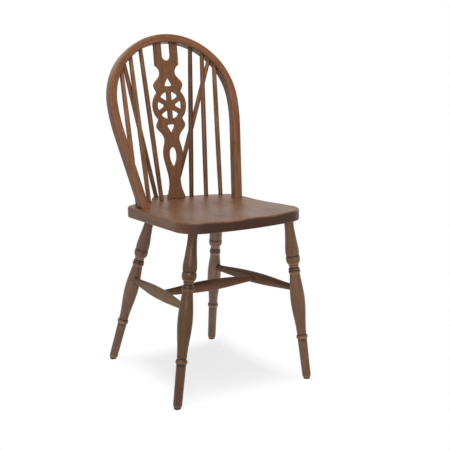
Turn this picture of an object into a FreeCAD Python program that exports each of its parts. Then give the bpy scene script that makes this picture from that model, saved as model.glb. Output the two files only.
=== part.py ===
import FreeCAD, Part
import math
import os

from FreeCAD import Placement, Rotation, Vector

# Wheelback Windsor chair in stained beech, one solid for each piece of wood, glide, nail and wedge.
# Millimetres, +Z up, front towards -Y. The origin is on the floor, under the middle of the chair.
# Places are given on the right-hand side (+X). The left-hand side is the same with X turned round.

# Fits
glue_gap = 0.1             # left round every tenon for the glue

# Seat: a plank that rises towards the front, with a tail behind for the two brace sticks
seat_height = 453.8        # top of the plank over the middle of the chair, before it is hollowed
seat_tilt = 1.96           # degrees, front up
seat_thickness = 28.2
seat_front = -244.0        # furthest point of the front edge
seat_rear = 153.5          # furthest point of the rear edge, without the tail
seat_front_width = 357.8   # across the front corners before they are rounded
seat_rear_width = 338.0    # across the rear corners before they are rounded
seat_front_radius = 600.0  # slow curve of the front edge
seat_rear_radius = 295.0   # curve of the rear edge
seat_front_corner = 65.0
seat_rear_corner = 39.0
seat_top_round = 5.0       # edge roundings
seat_bottom_round = 2.5
tail_width = 94.0
tail_length = 51.5         # from the rear edge to the tail's end
tail_end_radius = 62.0
tail_corner = 12.0
tail_root_round = 9.0

# Saddle: the hollows carved into the seat's top
side_dip = 2.8             # dip that runs across the seat and out through its sides
side_dip_y = -34.0
side_dip_spread = 83.0
thigh_dip = 2.9            # two hollows that run out through the front edge
thigh_dip_x = 61.0
thigh_dip_spread = 43.0
middle_dip = 3.0           # round hollow in the middle of the seat
middle_dip_y = -30.0
middle_dip_spread = 95.0
thigh_fade_start = -40.0   # where they start and end fading out towards the back
thigh_fade_end = 70.0
saddle_grid = 20.0         # spacing of the points that shape the carved surface

# Bow: a bent hoop in a raked plane. It is drawn from the straight limbs up to the crown.
bow_foot_y = 48.8          # where the bow's middle plane meets the seat
bow_rake = 18.4            # degrees from upright
bow_limb_lean = 9.8        # degrees outwards, in the bow's plane
bow_half_width = 183.5     # widest place, to the middle of the section
bow_widest_height = 270.5  # above the seat, up the bow's plane
bow_limb_radius = 450.8    # arc from the straight limb to the widest place
bow_shoulder_radius = 165.9
bow_shoulder_turn = 45.5   # degrees turned by the shoulder arc
bow_width = 21.8           # section, across the front
bow_depth = 26.6           # section, front to back
bow_edge_round = 4.0
bow_tenon_radius = 8.0
wedge_length = 15.0
wedge_thickness = 2.6
wedge_width = 13.0

# Sticks: six spindles and two braces, slightly thicker in the middle
stick_foot_radius = 5.8
stick_middle_radius = 6.55
stick_top_radius = 5.6
stick_seat_depth = 15.0    # depth of the hole in the seat
spindle_row_y = 129.3      # row of spindle feet: an arc with its middle here
spindle_row_radius = 410.0
spindle_feet_x = (46.6, 89.2, 129.2)
spindle_tops_x = (76.2, 109.3, 142.1)
spindle_bow_depth = 12.0   # length inside the bow, along the stick
spindle_setback = -1.3     # spindle tops in front of the bow's middle plane
brace_foot = (29.2, 189.3)
brace_top_x = 128.9
brace_bow_depth = 11.0
brace_setback = 2.8        # brace tops behind the bow's middle plane, clear of the spindles

# Splat: a flat pierced board. Widths are half widths, heights run up the board from the seat.
splat_thickness = 8.5
splat_foot_y = 128.5
splat_top_setback = 4.5    # how far the board's top lies in front of the bow's middle plane
splat_foot = 25.6
splat_foot_height = 8.0    # where the foot is widest
splat_ankle_height = 20.0  # half way in from the foot to the waist
splat_waist = 16.0
splat_waist_height = 45.0
splat_belly = 28.4
splat_belly_height = 122.0
splat_neck = 21.4
splat_neck_height = 160.0
splat_lobe = 42.8
splat_lobe_height = 197.5
splat_notch_height = 215.5
splat_upper_neck = 21.6
splat_upper_neck_height = 338.5
splat_shoulder = 35.0
splat_shoulder_height = 357.5
wheel_height = 251.0
wheel_radius = 50.0
wheel_opening_radius = 37.0
wheel_spokes = 6
spoke_width = 12.2
opening_round = 3.6
slot_half_width = 13.9     # slot between the two prongs that enter the bow
slot_bottom_height = 370.1
leaf_half_width = 12.0
leaf_top_height = 140.0
leaf_widest_height = 119.0
leaf_point_height = 84.5
triangle_half_width = 14.5
triangle_height = 25.0
triangle_base_gap = 51.5   # from the middle of the wheel to the base of each triangle
splat_tenon_half_width = 22.0
splat_tenon_length = 12.0
prong_depth = 8.0          # length of the prongs inside the bow

# Legs: turned, blind in the seat. Heights run up the leg's own middle line from the floor.
front_foot = (197.8, -206.8)
front_socket = (137.4, -191.4)   # on the plank's top plane
rear_foot = (162.0, 209.6)
rear_socket = (98.3, 76.5)
rear_leg_lift = 3.0      # the rear legs' turnings sit this much higher
leg_seat_depth = 16.0
leg_toe_radius = 9.4
leg_toe_height = 3.5
leg_ankle_radius = 11.3
leg_ankle_height = 10.0
leg_shin_radius = 12.3
ring_radius = 14.9
ring_height = 118.0
ring_half_height = 6.0
ring_groove_radius = 11.6
ring_groove_height = 126.0
calf_radius = 12.4
calf_height = 128.0
belly_radius = 18.8
belly_height = 221.0
neck_radius = 13.1
neck_height = 292.0
low_bead_radius = 15.3
low_bead_height = 298.0
fine_groove_radius = 13.4
fine_groove_height = 302.5
high_bead_radius = 14.5
high_bead_height = 305.0
waist_radius = 11.1
waist_height = 309.5
collar_foot_radius = 12.1
collar_radius = 12.9
collar_height = 313.5
cup_foot_radius = 13.0
cup_foot_height = 316.5
cup_step = 0.6
cup_radius = 18.2
cup_height = 332.0
top_groove_radius = 16.2
top_groove_height = 340.0
thigh_radius = 17.5
thigh_height = 347.0
leg_top_radius = 11.9
leg_top_height = 424.0

# Stretchers: two side ones with a cross one between them, each thickest in the middle
stretcher_height = 250.5   # up the leg's middle line
stretcher_radius = 14.8
stretcher_end_radius = 8.3
stretcher_end_inset = 6.0  # how far short of the leg's middle line it ends
stretcher_tenon = 14.0     # straight length at each end, inside the leg
cross_place = 0.48         # share of the side stretcher's length, from the front
cross_radius = 14.8
cross_end_radius = 8.0
cross_end_inset = 5.0
cross_tenon = 11.0

# Glides: plastic discs under the legs, each moulded round the head of a nail
glide_radius = 8.8
glide_height = 4.5
glide_round = 1.2
nail_radius = 1.1
nail_length = 18.0         # above the glide
nail_head_radius = 2.6
nail_head_height = 1.0
nail_head_floor = 1.8      # plastic under the head

reach = 2 * seat_height    # longer than any piece, for cutting tools
up = Vector(0, 0, 1)


def blend(low, high, share):
    """The value that lies at the given share of the way from low to high."""
    return low + (high - low) * share


def both_sides(point):
    """A point on the right, and the same point on the left."""
    return point, Vector(-point.x, point.y, point.z)


def along(start, end, distance):
    """The point at a distance from start towards end."""
    step = end - start
    return start + step.normalize() * distance


def stand(shape, start, end):
    """Move a shape made along +Z from the origin so that it runs from start towards end."""
    placed = shape.copy()
    placed.Placement = Placement(start, Rotation(up, end - start)).multiply(shape.Placement)
    return placed


def rod(start, end, radius):
    """A plain round bar between two points."""
    return Part.makeCylinder(radius, (end - start).Length, start, end - start)


def smooth(points):
    """One smooth edge through all the points."""
    curve = Part.BSplineCurve()
    curve.interpolate(points)
    return curve.toShape()


class Turning:
    """The outline of a turned piece, drawn as radius and height from its lower end upwards."""

    def __init__(self, radius):
        self.edges = []
        self.lift = 0.0
        self.at = self.point(radius, 0)

    def point(self, radius, height):
        """A point of the outline, raised by the lift that holds at the time."""
        return Vector(radius, 0, height + self.lift)

    def line(self, radius, height):
        end = self.point(radius, height)
        self.edges.append(Part.makeLine(self.at, end))
        self.at = end

    def arc(self, middle, end):
        """A round stretch through one point, given as (radius, height), to another."""
        end = self.point(*end)
        self.edges.append(Part.Arc(self.at, self.point(*middle), end).toShape())
        self.at = end

    def sweep(self, *points):
        """A smooth stretch through points given as (radius, height)."""
        points = [self.at] + [self.point(*point) for point in points]
        self.edges.append(smooth(points))
        self.at = points[-1]

    def solid(self):
        """The outline closed along the middle line and turned once round."""
        top = Vector(0, 0, self.at.z)
        middle = Vector(0, 0, 0)
        first = self.edges[0].Vertexes[0].Point
        edges = self.edges + [Part.makeLine(self.at, top), Part.makeLine(top, middle)]
        edges.append(Part.makeLine(middle, first))
        face = Part.Face(Part.Wire(Part.__sortEdges__(edges)))
        return face.revolve(middle, up, 360)


# Seat

seat_place = Placement(Vector(0, 0, seat_height), Rotation(Vector(1, 0, 0), -seat_tilt))


def seat_top(x, y, depth=0.0):
    """The point of the plank's top plane at x and y, or of the plane a depth below it."""
    slope = math.radians(seat_tilt)
    return Vector(x, y, seat_height - depth / math.cos(slope) - y * math.tan(slope))


def seat_crossing(foot, socket, depth):
    """Where the line from foot to socket crosses the plane a depth below the plank's top plane."""
    normal = seat_place.Rotation.multVec(up)
    direction = (socket - foot).normalize()
    reached = (seat_top(0, 0, depth) - foot).dot(normal) / direction.dot(normal)
    return foot + direction * reached


def fade(y):
    """1 in front of the start of the fade, 0 behind its end, and smooth between them."""
    share = (thigh_fade_end - y) / (thigh_fade_end - thigh_fade_start)
    share = min(1.0, max(0.0, share))
    return share * share * (3 - 2 * share)


def saddle_depth(x, y):
    """Depth of the carving: a dip across the seat, a round hollow and one for each thigh."""
    across = side_dip * math.exp(-((y - side_dip_y) / side_dip_spread) ** 2)
    away = x ** 2 + (y - middle_dip_y) ** 2
    middle = middle_dip * math.exp(-away / middle_dip_spread ** 2)
    left = math.exp(-((x + thigh_dip_x) / thigh_dip_spread) ** 2)
    right = math.exp(-((x - thigh_dip_x) / thigh_dip_spread) ** 2)
    return across + middle + thigh_dip * (left + right) * fade(y)


def below_saddle():
    """Everything under the carved surface, as one block."""
    half = seat_front_width / 2 + saddle_grid
    back = seat_rear + tail_length + saddle_grid
    front = seat_front - saddle_grid
    columns = 2 * math.ceil(half / saddle_grid)
    rows = math.ceil((back - front) / saddle_grid)
    points = []
    for i in range(columns + 1):
        x = blend(-half, half, i / columns)
        line = [blend(front, back, j / rows) for j in range(rows + 1)]
        points.append([Vector(x, y, -saddle_depth(x, y)) for y in line])
    surface = Part.BSplineSurface()
    surface.interpolate(points)
    block = surface.toShape().extrude(Vector(0, 0, -3 * seat_thickness))
    block.Placement = seat_place
    return block


def upright_edges(shape, corner, sides=(1, -1)):
    """The upright edges of a plank that stand at a corner (x, y) on either side."""
    found = []
    for edge in shape.Edges:
        low, high = edge.BoundBox.ZMin, edge.BoundBox.ZMax
        middle = edge.BoundBox.Center
        for side in sides:
            near = abs(middle.x - side * corner[0]) < 1 and abs(middle.y - corner[1]) < 1
            if near and high - low > seat_thickness / 2:
                found.append(edge)
    return found


def seat_blank():
    """The plank's outline at full thickness, flat, with its corners rounded."""
    front_x = seat_front_width / 2
    rear_x = seat_rear_width / 2
    front_y = seat_front + seat_front_radius - math.sqrt(seat_front_radius ** 2 - front_x ** 2)
    rear_y = seat_rear - seat_rear_radius + math.sqrt(seat_rear_radius ** 2 - rear_x ** 2)
    corners = [Vector(-front_x, front_y, 0), Vector(front_x, front_y, 0),
               Vector(rear_x, rear_y, 0), Vector(-rear_x, rear_y, 0)]
    edges = [Part.Arc(corners[0], Vector(0, seat_front, 0), corners[1]).toShape(),
             Part.makeLine(corners[1], corners[2]),
             Part.Arc(corners[2], Vector(0, seat_rear, 0), corners[3]).toShape(),
             Part.makeLine(corners[3], corners[0])]
    drop = Vector(0, 0, -seat_thickness)
    blank = Part.Face(Part.Wire(edges)).extrude(drop)
    blank = blank.makeFillet(seat_front_corner, upright_edges(blank, (front_x, front_y)))
    blank = blank.makeFillet(seat_rear_corner, upright_edges(blank, (rear_x, rear_y)))

    half = tail_width / 2
    end_y = seat_rear + tail_length
    side_y = end_y - tail_end_radius + math.sqrt(tail_end_radius ** 2 - half ** 2)
    root = seat_rear - tail_length
    corners = [Vector(half, root, 0), Vector(half, side_y, 0),
               Vector(-half, side_y, 0), Vector(-half, root, 0)]
    edges = [Part.makeLine(corners[0], corners[1]),
             Part.Arc(corners[1], Vector(0, end_y, 0), corners[2]).toShape(),
             Part.makeLine(corners[2], corners[3]),
             Part.makeLine(corners[3], corners[0])]
    tail = Part.Face(Part.Wire(edges)).extrude(drop)
    tail = tail.makeFillet(tail_corner, upright_edges(tail, (half, side_y)))
    blank = blank.fuse(tail).removeSplitter()
    meet_y = seat_rear - seat_rear_radius + math.sqrt(seat_rear_radius ** 2 - half ** 2)
    return blank.makeFillet(tail_root_round, upright_edges(blank, (half, meet_y)))


def rim_edges(shape, top):
    """The edges that run round the top or the bottom of the seat."""
    found = []
    for face in shape.Faces:
        normal = face.normalAt(*face.Surface.parameter(face.CenterOfMass))
        if abs(normal.z) < 0.9 or (normal.z > 0) != top:
            continue
        found += face.OuterWire.Edges
    return found


def make_seat(saddle):
    blank = seat_blank()
    blank.Placement = seat_place
    seat = blank.common(saddle)
    seat = seat.makeFillet(seat_top_round, rim_edges(seat, True))
    return seat.makeFillet(seat_bottom_round, rim_edges(seat, False))


# Bow

bow_normal = Vector(0, math.cos(math.radians(bow_rake)), -math.sin(math.radians(bow_rake)))
bow_up = Vector(0, math.sin(math.radians(bow_rake)), math.cos(math.radians(bow_rake)))
bow_start = seat_top(0, bow_foot_y)
shoulder_x = bow_half_width - bow_shoulder_radius
crown_radius = bow_shoulder_radius + shoulder_x / math.cos(math.radians(bow_shoulder_turn))
crown_height = bow_widest_height - shoulder_x * math.tan(math.radians(bow_shoulder_turn))


def on_bow(x, height, behind=0.0):
    """A point of the bow's plane, given across, up the plane from the seat, and behind it."""
    return bow_start + Vector(x, 0, 0) + bow_up * height + bow_normal * behind


def bow_height_at(x, inset=0.0):
    """Height of the bow's middle line at x, or of the line an inset nearer to the inside."""
    turn = math.cos(math.radians(bow_shoulder_turn))
    if abs(x) < (crown_radius - inset) * turn:
        return crown_height + math.sqrt((crown_radius - inset) ** 2 - x ** 2)
    rise = (bow_shoulder_radius - inset) ** 2 - (abs(x) - shoulder_x) ** 2
    return bow_widest_height + math.sqrt(rise)


def bow_arc(centre_x, centre_y, radius, start, end):
    """An arc of the bow's middle line, with its angles in degrees from the sideways direction."""
    points = []
    for angle in (start, (start + end) / 2, end):
        turn = math.radians(angle)
        points.append(on_bow(centre_x + radius * math.cos(turn), centre_y + radius * math.sin(turn)))
    return Part.Arc(*points).toShape()


def bow_limb_foot():
    """Where the straight limb meets the plank's top plane, and where its arc takes over."""
    lean = math.radians(bow_limb_lean)
    centre_x = bow_half_width - bow_limb_radius
    top = (centre_x + bow_limb_radius * math.cos(lean),
           bow_widest_height - bow_limb_radius * math.sin(lean))
    foot_x = top[0] - top[1] * math.tan(lean)
    return on_bow(foot_x, 0), on_bow(*top)


def bow_path():
    """The middle line of the hoop: straight limb, limb arc, shoulder, crown, and back down."""
    sink = 3 * bow_width
    foot, top = bow_limb_foot()
    foot = along(foot, top, -sink)
    limb_x = bow_half_width - bow_limb_radius
    lean = bow_limb_lean
    turn = bow_shoulder_turn
    left_foot = both_sides(foot)[1]
    left_top = both_sides(top)[1]
    return Part.Wire([
        Part.makeLine(foot, top),
        bow_arc(limb_x, bow_widest_height, bow_limb_radius, -lean, 0),
        bow_arc(shoulder_x, bow_widest_height, bow_shoulder_radius, 0, turn),
        bow_arc(0, crown_height, crown_radius, turn, 180 - turn),
        bow_arc(-shoulder_x, bow_widest_height, bow_shoulder_radius, 180 - turn, 180),
        bow_arc(-limb_x, bow_widest_height, bow_limb_radius, 180, 180 + lean),
        Part.makeLine(left_top, left_foot)])


def bow_section(path):
    """The hoop's rounded section, square to the start of its middle line."""
    blank = Part.makeBox(bow_width, bow_depth, 1, Vector(-bow_width / 2, -bow_depth / 2, 0))
    corners = [edge for edge in blank.Edges if abs(edge.tangentAt(edge.FirstParameter).z) > 0.9]
    blank = blank.makeFillet(bow_edge_round, corners)
    section = min(blank.Faces, key=lambda face: face.CenterOfMass.z).OuterWire
    first = path.Edges[0]
    direction = first.tangentAt(first.FirstParameter)
    sideways = bow_normal.cross(direction)
    turned = Rotation(sideways, bow_normal, direction, "ZYX")
    section.Placement = Placement(first.valueAt(first.FirstParameter), turned)
    return section


def bow_tenon_line(depth):
    """The middle line of the right-hand tenon, from the seat's top to a depth below it."""
    foot, top = bow_limb_foot()
    return foot, seat_crossing(top, foot, depth)


def bow_tenon_hole():
    """The hole through the seat for the right-hand tenon."""
    foot, end = bow_tenon_line(seat_thickness)
    start = along(foot, end, -bow_width)
    return rod(start, along(foot, end, 2 * seat_thickness), bow_tenon_radius + glue_gap)


def make_wedge():
    """The right-hand wedge, driven into the end of the bow's tenon from below the seat."""
    foot, end = bow_tenon_line(seat_thickness)
    half = wedge_thickness / 2
    outline = [Vector(-half, 0, 0), Vector(half, 0, 0), Vector(half / 4, 0, wedge_length),
               Vector(-half / 4, 0, wedge_length), Vector(-half, 0, 0)]
    wedge = Part.Face(Part.makePolygon(outline)).extrude(Vector(0, wedge_width, 0))
    wedge.translate(Vector(0, -wedge_width / 2, 0))
    return stand(wedge, along(end, foot, -wedge_thickness), foot).cut(seat_underside())


def make_bow(saddle, wedges):
    """The bent hoop, cut to the carved seat, with a round tenon under each foot."""
    path = bow_path()
    bow = path.makePipeShell([bow_section(path)], True, False).cut(saddle)
    foot, end = bow_tenon_line(seat_thickness)
    start = along(foot, end, -bow_width / 2)
    tenon = rod(start, along(foot, end, 2 * seat_thickness), bow_tenon_radius)
    under = seat_underside()
    for side in (tenon, mirrored(tenon)):
        bow = bow.fuse(side.cut(under))
    return bow.removeSplitter().cut(wedges)


def seat_underside():
    """Everything below the plank's underside, as one block."""
    block = Part.makeBox(reach, reach, reach, Vector(-reach / 2, -reach / 2, -reach - seat_thickness))
    block.Placement = seat_place.multiply(block.Placement)
    return block


def mirrored(shape):
    """The same shape on the other side of the chair."""
    return shape.mirror(Vector(0, 0, 0), Vector(1, 0, 0))


# Sticks

def stick_ends(foot, top_x, setback, depth):
    """A stick's lower end in the seat and its upper end in the bow."""
    foot = seat_top(*foot)
    entry = on_bow(top_x, bow_height_at(top_x, bow_width / 2), setback)
    low = seat_crossing(entry, foot, stick_seat_depth)
    high = along(foot, entry, (entry - foot).Length + depth)
    return low, high


def make_stick(low, high, gap=0.0):
    """A stick, slightly thicker half way up, or with a gap the room that it needs."""
    length = (high - low).Length
    outline = Turning(stick_foot_radius + gap)
    outline.sweep((stick_middle_radius + gap, length / 2), (stick_top_radius + gap, length))
    return stand(outline.solid(), low, high)


# Splat

splat_start = seat_top(0, splat_foot_y)
splat_end = on_bow(0, bow_height_at(0), -splat_top_setback)
splat_place = Placement(splat_start, Rotation(up, splat_end - splat_start))


def up_splat(*points):
    """Points on the board, given as (across, height)."""
    return [Vector(x, 0, height) for x, height in points]


def splat_side():
    """The right-hand edge of the board from the seat to the bow, as a list of edges."""
    notch_x = math.sqrt(wheel_radius ** 2 - (wheel_height - splat_notch_height) ** 2)
    upper_notch = 2 * wheel_height - splat_notch_height
    upper_lobe = 2 * wheel_height - splat_lobe_height
    top = bow_height_at(0) + bow_width
    lower = smooth(up_splat(
        (splat_foot, splat_foot_height),
        (blend(splat_waist, splat_foot, 0.5), splat_ankle_height),
        (splat_waist, splat_waist_height),
        (blend(splat_waist, splat_belly, 0.2), blend(splat_waist_height, splat_belly_height, 0.33)),
        (blend(splat_waist, splat_belly, 0.72), blend(splat_waist_height, splat_belly_height, 0.7)),
        (splat_belly, splat_belly_height),
        (blend(splat_belly, splat_neck, 0.55), blend(splat_belly_height, splat_neck_height, 0.6)),
        (splat_neck, splat_neck_height),
        (blend(splat_neck, splat_lobe, 0.25), blend(splat_neck_height, splat_lobe_height, 0.4)),
        (blend(splat_neck, splat_lobe, 0.85), blend(splat_neck_height, splat_lobe_height, 0.78)),
        (splat_lobe, splat_lobe_height),
        (blend(splat_lobe, notch_x, 0.45), blend(splat_lobe_height, splat_notch_height, 0.55)),
        (notch_x, splat_notch_height)))
    rim = Part.Arc(*up_splat((notch_x, splat_notch_height), (wheel_radius, wheel_height),
                             (notch_x, upper_notch))).toShape()
    upper = smooth(up_splat(
        (notch_x, upper_notch),
        (blend(splat_lobe, notch_x, 0.45), blend(upper_lobe, upper_notch, 0.55)),
        (splat_lobe, upper_lobe),
        (blend(splat_upper_neck, splat_lobe, 0.85), blend(splat_upper_neck_height, upper_lobe, 0.74)),
        (blend(splat_upper_neck, splat_lobe, 0.3), blend(splat_upper_neck_height, upper_lobe, 0.4)),
        (splat_upper_neck, splat_upper_neck_height),
        (blend(splat_upper_neck, splat_shoulder, 0.35),
         blend(splat_upper_neck_height, splat_shoulder_height, 0.65)),
        (splat_shoulder, splat_shoulder_height)))
    foot = Part.makeLine(*up_splat((splat_foot, 0), (splat_foot, splat_foot_height)))
    prong = Part.makeLine(*up_splat((splat_shoulder, splat_shoulder_height), (splat_shoulder, top)))
    return [foot, lower, rim, upper, prong]


def board(edges, thickness=splat_thickness):
    """A flat piece with the given outline, centred on the board's middle plane."""
    face = Part.Face(Part.Wire(Part.__sortEdges__(edges)))
    slab = face.extrude(Vector(0, thickness, 0))
    slab.translate(Vector(0, -thickness / 2, 0))
    return slab


def pierced(edges, corner):
    """A tool that pierces the board, with its corners rounded."""
    tool = board(edges, 3 * splat_thickness)
    corners = [edge for edge in tool.Edges if abs(edge.tangentAt(edge.FirstParameter).y) > 0.99]
    return tool.makeFillet(corner, corners)


def wheel_openings():
    """The openings between the spokes: wedges with their points towards the hub."""
    half_step = math.pi / wheel_spokes
    point = spoke_width / 2 / math.sin(half_step)
    edge_angle = half_step - math.asin(spoke_width / 2 / wheel_opening_radius)
    out = wheel_opening_radius
    corner = (out * math.cos(edge_angle), out * math.sin(edge_angle))
    edges = [Part.makeLine(*up_splat((point, 0), (corner[0], -corner[1]))),
             Part.Arc(*up_splat((corner[0], -corner[1]), (out, 0), corner)).toShape(),
             Part.makeLine(*up_splat(corner, (point, 0)))]
    wedge = pierced(edges, opening_round)
    tools = []
    for i in range(wheel_spokes):
        tool = wedge.copy()
        tool.rotate(Vector(0, 0, 0), Vector(0, 1, 0), i * 360 / wheel_spokes)
        tool.translate(Vector(0, 0, wheel_height))
        tools.append(tool)
    return tools


def triangle_opening(direction):
    """A rounded triangle above (1) or below (-1) the wheel, pointing away from it."""
    base = wheel_height + direction * triangle_base_gap
    tip = base + direction * triangle_height
    half = triangle_half_width
    points = up_splat((-half, base), (half, base), (0, tip), (-half, base))
    return pierced(Part.makePolygon(points).Edges, opening_round)


def leaf_opening():
    """A drop with a round top and a pointed foot."""
    middle = (leaf_half_width, leaf_widest_height)
    top = (0, leaf_top_height)
    point = (0, leaf_point_height)
    side = (blend(0, leaf_half_width, 0.56), blend(leaf_point_height, leaf_widest_height, 0.31))
    shoulder = (leaf_half_width * 0.72, blend(leaf_widest_height, leaf_top_height, 0.68))
    right = [point, side, middle, shoulder, top]
    left = [(-x, height) for x, height in reversed(right)]
    lower_right = smooth(up_splat(*right))
    upper_left = smooth(up_splat(*left))
    return board([lower_right, upper_left], 3 * splat_thickness)


def slot_opening():
    """The slot between the prongs, round at the bottom and open to the bow."""
    low = slot_bottom_height + slot_half_width
    high = bow_height_at(0) + 2 * bow_width
    half = slot_half_width
    edges = [Part.Arc(*up_splat((-half, low), (0, slot_bottom_height), (half, low))).toShape(),
             Part.makeLine(*up_splat((half, low), (half, high))),
             Part.makeLine(*up_splat((half, high), (-half, high))),
             Part.makeLine(*up_splat((-half, high), (-half, low)))]
    return board(edges, 3 * splat_thickness)


def prong_top():
    """Height up the board at which the prongs end, inside the bow."""
    inner = on_bow(0, bow_height_at(splat_shoulder, bow_width / 2), -splat_top_setback)
    return (inner - splat_start).dot((splat_end - splat_start).normalize()) + prong_depth


def make_splat(saddle):
    right = splat_side()
    left = [edge.mirror(Vector(0, 0, 0), Vector(1, 0, 0)) for edge in right]
    top = right[-1].Vertexes[-1].Point
    foot = right[0].Vertexes[0].Point
    edges = right + left
    edges.append(Part.makeLine(top, both_sides(top)[1]))
    edges.append(Part.makeLine(foot, both_sides(foot)[1]))
    splat = board(edges)
    for tool in wheel_openings() + [triangle_opening(1), triangle_opening(-1)]:
        splat = splat.cut(tool)
    splat = splat.cut(leaf_opening()).cut(slot_opening())
    waste = Part.makeBox(reach, reach, reach, Vector(-reach / 2, -reach / 2, prong_top()))
    splat = splat.cut(waste)
    root = Part.makeBox(2 * splat_foot, splat_thickness, splat_tenon_length,
                        Vector(-splat_foot, -splat_thickness / 2, -splat_tenon_length))
    splat = splat.fuse(root).removeSplitter()
    splat.Placement = splat_place
    splat = splat.cut(saddle)
    return splat.fuse(splat_tenon(0)).removeSplitter()


def splat_tenon(gap):
    """The tenon under the board, or with a gap the room for it in the seat."""
    half = splat_tenon_half_width + gap
    depth = splat_thickness + 2 * gap
    tenon = Part.makeBox(2 * half, depth, splat_tenon_length + 1,
                         Vector(-half, -depth / 2, -splat_tenon_length))
    tenon.Placement = splat_place
    return tenon


def prong_hole():
    """The room for the right-hand prong in the bow."""
    width = splat_shoulder - slot_half_width + 2 * glue_gap
    depth = splat_thickness + 2 * glue_gap
    corner = Vector(slot_half_width - glue_gap, -depth / 2, prong_top() - reach)
    hole = Part.makeBox(width, depth, reach, corner)
    hole.Placement = splat_place
    return hole


# Legs

def leg_line(foot, socket):
    """The leg's middle line, from the floor to its end inside the seat."""
    foot = Vector(foot[0], foot[1], 0)
    socket = seat_top(*socket)
    return foot, seat_crossing(foot, socket, seat_thickness - leg_seat_depth)


def leg_outline(lift, length):
    """The turned outline of a leg, with its ornament raised by a lift."""
    outline = Turning(leg_toe_radius)
    outline.line(leg_toe_radius, leg_toe_height)
    outline.line(leg_ankle_radius, leg_ankle_height)
    outline.lift = lift
    ring_foot = ring_height - ring_half_height
    outline.sweep((blend(leg_ankle_radius, leg_shin_radius, 0.4), ring_height / 2),
                  (leg_shin_radius, ring_foot))
    outline.arc((ring_radius, ring_height), (calf_radius, ring_height + ring_half_height))
    outline.arc((ring_groove_radius, ring_groove_height), (calf_radius, calf_height))
    outline.sweep((blend(calf_radius, belly_radius, 0.23), blend(calf_height, belly_height, 0.3)),
                  (blend(calf_radius, belly_radius, 0.62), blend(calf_height, belly_height, 0.56)),
                  (blend(calf_radius, belly_radius, 0.92), blend(calf_height, belly_height, 0.81)),
                  (belly_radius, belly_height),
                  (blend(belly_radius, neck_radius, 0.42), blend(belly_height, neck_height, 0.55)),
                  (blend(belly_radius, neck_radius, 0.8), blend(belly_height, neck_height, 0.83)),
                  (neck_radius, neck_height))
    bead_radius = blend(waist_radius, high_bead_radius, 0.5)
    outline.arc((low_bead_radius, low_bead_height), (fine_groove_radius, fine_groove_height))
    outline.arc((high_bead_radius, high_bead_height),
                (bead_radius, blend(high_bead_height, waist_height, 0.5)))
    outline.arc((waist_radius, waist_height),
                (collar_foot_radius, blend(waist_height, collar_height, 0.5)))
    outline.arc((collar_radius, collar_height), (collar_foot_radius, cup_foot_height))
    outline.line(cup_foot_radius, cup_foot_height + cup_step)
    outline.sweep((blend(cup_foot_radius, cup_radius, 0.72), blend(cup_foot_height, cup_height, 0.4)),
                  (cup_radius, cup_height),
                  (blend(cup_radius, top_groove_radius, 0.35), blend(cup_height, top_groove_height, 0.75)))
    outline.arc((top_groove_radius, top_groove_height),
                (blend(top_groove_radius, thigh_radius, 0.75),
                 blend(top_groove_height, thigh_height, 0.35)))
    outline.sweep((thigh_radius, thigh_height),
                  (blend(thigh_radius, leg_top_radius, 0.32), blend(thigh_height, leg_top_height, 0.33)),
                  (blend(thigh_radius, leg_top_radius, 0.74), blend(thigh_height, leg_top_height, 0.62)),
                  (leg_top_radius, leg_top_height))
    outline.lift = 0.0
    outline.line(leg_top_radius, length)
    return outline


def make_leg(foot, socket, lift):
    start, end = leg_line(foot, socket)
    leg = stand(leg_outline(lift, (end - start).Length).solid(), start, end)
    below = Part.makeBox(reach, reach, reach, start + Vector(-reach / 2, -reach / 2, glide_height - reach))
    return leg.cut(below)


def leg_hole(foot, socket):
    start, end = leg_line(foot, socket)
    return rod(along(end, start, 3 * leg_seat_depth), end, leg_top_radius + glue_gap)


# Stretchers

def make_bar(ends, middle_radius, end_radius, tenon):
    """A stretcher that swells from straight ends as (1 - u squared) to the power 1.5."""
    length = (ends[1] - ends[0]).Length
    half = length / 2
    outline = Turning(end_radius)
    outline.line(end_radius, tenon)
    points = []
    for share in (-0.8, -0.6, -0.3, 0, 0.3, 0.6, 0.8, 1):
        swell = (1 - share ** 2) ** 1.5
        radius = blend(end_radius, middle_radius, swell)
        points.append((radius, half + (half - tenon) * share))
    outline.sweep(*points)
    outline.line(end_radius, length)
    return stand(outline.solid(), *ends)


def side_stretcher_line():
    """The right-hand side stretcher's ends, each a little short of its leg's middle line."""
    front, front_top = leg_line(front_foot, front_socket)
    rear, rear_top = leg_line(rear_foot, rear_socket)
    front = along(front, front_top, stretcher_height)
    rear = along(rear, rear_top, stretcher_height)
    return along(front, rear, stretcher_end_inset), along(rear, front, stretcher_end_inset)


def cross_stretcher_line():
    """The cross stretcher's ends, each a little short of a side stretcher's middle line."""
    front, rear = side_stretcher_line()
    right, left = both_sides(front + (rear - front) * cross_place)
    return along(left, right, cross_end_inset), along(right, left, cross_end_inset)


def bar_hole(end, other, end_radius, depth):
    """The hole for one end of a stretcher."""
    return rod(along(end, other, depth), end, end_radius + glue_gap)


# Glides

def nail(centre):
    """The nail of one glide, upright, with its head inside the plastic."""
    base = Vector(centre[0], centre[1], nail_head_floor)
    head = Part.makeCylinder(nail_head_radius, nail_head_height, base)
    length = glide_height + nail_length - nail_head_floor
    return head.fuse(Part.makeCylinder(nail_radius, length, base)).removeSplitter()


def nail_hole(centre):
    """The hole up the leg for a nail."""
    base = Vector(centre[0], centre[1], 0)
    return Part.makeCylinder(nail_radius + glue_gap, glide_height + nail_length, base)


def glide_centre(foot, socket):
    """Where the leg's middle line crosses the glide's top."""
    start, end = leg_line(foot, socket)
    direction = end - start
    point = start + direction * (glide_height / direction.z)
    return point.x, point.y


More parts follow.
